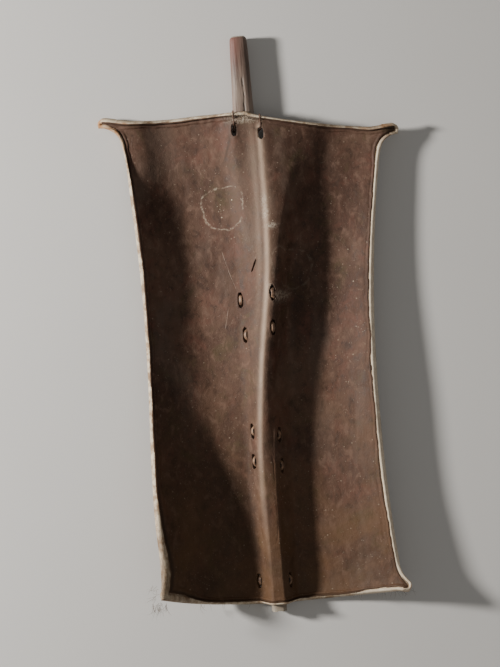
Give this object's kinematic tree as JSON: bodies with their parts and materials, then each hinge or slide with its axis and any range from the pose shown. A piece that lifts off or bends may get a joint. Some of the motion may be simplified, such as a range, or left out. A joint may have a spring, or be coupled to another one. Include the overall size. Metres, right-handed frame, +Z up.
{
  "type": "hide shield",
  "caption": "Waisted oblong shield of thick hide with drawn-out corners and a rolled hem, laced to a wooden pole that stands out past the top and leaves a hand grip behind the central ridge.",
  "frame": {"origin": "on the floor under the middle of the bounding box, with the shield lying on its back", "axes": "+Z up, out of the shield's front; +Y along the pole towards the shield's top; +X to the right as seen from the front"},
  "size_m": [0.5055, 0.9712, 0.093],
  "materials": {
    "hide": "worn, satin",
    "wood": "weathered, dull",
    "thong": "dull"
  },
  "bodies": {
    "root": {"hide": "hide", "pole": "wood", "thong_top": "thong", "thong_upper_1": "thong", "thong_upper_2": "thong", "thong_lower_1": "thong", "thong_lower_2": "thong", "thong_bottom": "thong"}
  },
  "joints": []
}
